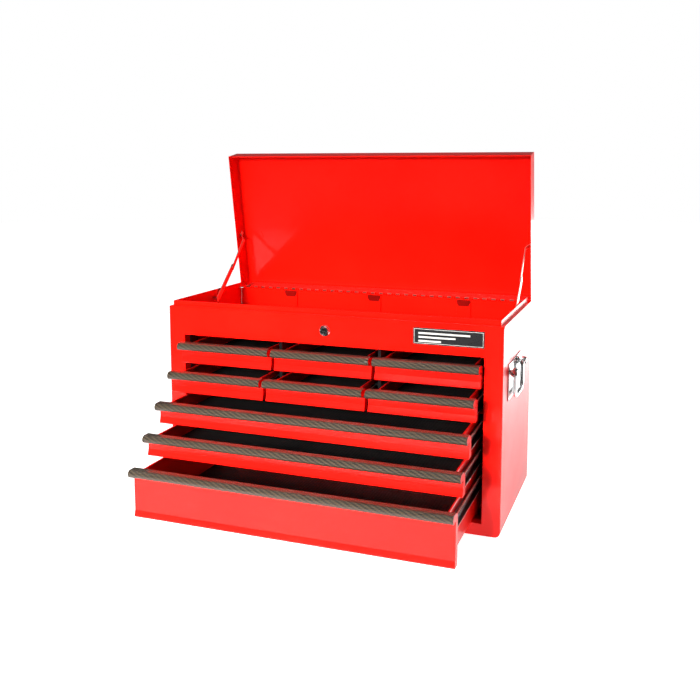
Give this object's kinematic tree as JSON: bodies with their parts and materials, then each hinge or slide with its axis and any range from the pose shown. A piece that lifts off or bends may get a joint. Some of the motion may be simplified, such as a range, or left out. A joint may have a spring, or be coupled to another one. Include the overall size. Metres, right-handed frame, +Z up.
{
  "type": "tool chest",
  "caption": "Steel tool chest with lift-up lid on folding stays, shallow till, rows of full-width and small sliding drawers with rolled pulls, front lock and side drop handles.",
  "frame": {"origin": "middle of the underside of the base", "axes": "+Z up, front with the drawers towards -Y, width along X"},
  "size_m": [0.6916, 0.549, 0.6778],
  "materials": {
    "red_paint": "gloss red enamel on folded sheet",
    "twill_trim": "glossy strip with a fine diagonal twill pattern",
    "black_slide": "black coated slide steel",
    "black_liner": "matt black ribbed mat",
    "bright_steel": "bright zinc plate",
    "chrome": "bright chrome plate",
    "badge": "plain black plate with no lettering"
  },
  "bodies": {
    "cabinet": {"cabinet_wrap": "red_paint", "front_frame": "red_paint", "back_panel": "red_paint", "till_floor": "red_paint", "back_brace_left": "red_paint", "back_brace_middle": "red_paint", "back_brace_right": "red_paint", "mid_shelf": "red_paint", "partition_left": "black_slide", "partition_right": "black_slide", "slide_rack_left": "black_slide", "slide_rack_right": "black_slide", "hinge_leaf_cabinet": "red_paint", "hinge_pin": "bright_steel", "lock_barrel": "chrome", "badge_plate": "badge", "handle_plate_left": "chrome", "handle_plate_right": "chrome"},
    "lid": {"lid": "red_paint", "hinge_leaf_lid": "bright_steel"},
    "lock_plug": {"lock_plug": "chrome"},
    "lower_stay_left": {"stay_lower_left": "bright_steel"},
    "upper_stay_left": {"stay_upper_left": "bright_steel"},
    "lower_stay_right": {"stay_lower_right": "bright_steel"},
    "upper_stay_right": {"stay_upper_right": "bright_steel"},
    "row_1_left_drawer": {"drawer_1_left": "red_paint", "pull_trim_1_left": "twill_trim", "liner_1_left": "black_liner"},
    "row_1_middle_drawer": {"drawer_1_middle": "red_paint", "pull_trim_1_middle": "twill_trim", "liner_1_middle": "black_liner"},
    "row_1_right_drawer": {"drawer_1_right": "red_paint", "pull_trim_1_right": "twill_trim", "liner_1_right": "black_liner"},
    "row_2_left_drawer": {"drawer_2_left": "red_paint", "pull_trim_2_left": "twill_trim", "liner_2_left": "black_liner"},
    "row_2_middle_drawer": {"drawer_2_middle": "red_paint", "pull_trim_2_middle": "twill_trim", "liner_2_middle": "black_liner"},
    "row_2_right_drawer": {"drawer_2_right": "red_paint", "pull_trim_2_right": "twill_trim", "liner_2_right": "black_liner"},
    "row_3_drawer": {"drawer_3": "red_paint", "pull_trim_3": "twill_trim", "liner_3": "black_liner", "runner_3_left": "black_slide", "runner_3_right": "black_slide"},
    "row_4_drawer": {"drawer_4": "red_paint", "pull_trim_4": "twill_trim", "liner_4": "black_liner", "runner_4_left": "black_slide", "runner_4_right": "black_slide"},
    "row_5_drawer": {"drawer_5": "red_paint", "pull_trim_5": "twill_trim", "liner_5": "black_liner", "runner_5_left": "black_slide", "runner_5_right": "black_slide"},
    "bail_left": {"handle_bail_left": "chrome"},
    "bail_right": {"handle_bail_right": "chrome"}
  },
  "joints": [
    {"name": "lid_hinge", "type": "hinge", "parent": "cabinet", "child": "lid", "pos_m": [0, 0.149, 0.3765], "axis": [-1, 0, 0], "range_deg": [-80.2, 0]},
    {"name": "stay_foot_left", "type": "hinge", "parent": "cabinet", "child": "lower_stay_left", "pos_m": [-0.32, 0.022, 0.366], "axis": [1, 0, 0], "range_deg": [-45.89, 0]},
    {"name": "stay_head_left", "type": "hinge", "parent": "lid", "child": "upper_stay_left", "pos_m": [-0.32, 0.15365, 0.49644], "axis": [1, 0, 0], "range_deg": [0, 25.95]},
    {"name": "stay_foot_right", "type": "hinge", "parent": "cabinet", "child": "lower_stay_right", "pos_m": [0.32, 0.022, 0.366], "axis": [1, 0, 0], "range_deg": [-45.89, 0]},
    {"name": "stay_head_right", "type": "hinge", "parent": "lid", "child": "upper_stay_right", "pos_m": [0.32, 0.15365, 0.49644], "axis": [1, 0, 0], "range_deg": [0, 25.95]},
    {"name": "drawer_1_left_slide", "type": "slide", "parent": "cabinet", "child": "row_1_left_drawer", "axis": [0, -1, 0], "range_m": [-0.015, 0.185]},
    {"name": "drawer_1_middle_slide", "type": "slide", "parent": "cabinet", "child": "row_1_middle_drawer", "axis": [0, -1, 0], "range_m": [-0.015, 0.185]},
    {"name": "drawer_1_right_slide", "type": "slide", "parent": "cabinet", "child": "row_1_right_drawer", "axis": [0, -1, 0], "range_m": [-0.015, 0.185]},
    {"name": "drawer_2_left_slide", "type": "slide", "parent": "cabinet", "child": "row_2_left_drawer", "axis": [0, -1, 0], "range_m": [-0.0515, 0.1485]},
    {"name": "drawer_2_middle_slide", "type": "slide", "parent": "cabinet", "child": "row_2_middle_drawer", "axis": [0, -1, 0], "range_m": [-0.0515, 0.1485]},
    {"name": "drawer_2_right_slide", "type": "slide", "parent": "cabinet", "child": "row_2_right_drawer", "axis": [0, -1, 0], "range_m": [-0.0515, 0.1485]},
    {"name": "drawer_3_slide", "type": "slide", "parent": "cabinet", "child": "row_3_drawer", "axis": [0, -1, 0], "range_m": [-0.097, 0.103]},
    {"name": "drawer_4_slide", "type": "slide", "parent": "cabinet", "child": "row_4_drawer", "axis": [0, -1, 0], "range_m": [-0.139, 0.061]},
    {"name": "drawer_5_slide", "type": "slide", "parent": "cabinet", "child": "row_5_drawer", "axis": [0, -1, 0], "range_m": [-0.186, 0.014]},
    {"name": "lock_turn", "type": "hinge", "parent": "cabinet", "child": "lock_plug", "pos_m": [0, -0.1525, 0.349], "axis": [0, -1, 0], "range_deg": [0, 90]},
    {"name": "bail_left_swing", "type": "hinge", "parent": "cabinet", "child": "bail_left", "pos_m": [-0.33855, -0.04, 0.285], "axis": [0, 1, 0], "range_deg": [0, 90]},
    {"name": "bail_right_swing", "type": "hinge", "parent": "cabinet", "child": "bail_right", "pos_m": [0.33855, -0.04, 0.285], "axis": [0, -1, 0], "range_deg": [0, 90]}
  ],
  "couplings": [
    {"joint": "stay_foot_left", "follows": "lid_hinge", "ratio": 0.5716},
    {"joint": "stay_head_left", "follows": "lid_hinge", "ratio": -0.323},
    {"joint": "stay_foot_right", "follows": "lid_hinge", "ratio": 0.5716},
    {"joint": "stay_head_right", "follows": "lid_hinge", "ratio": -0.323}
  ]
}
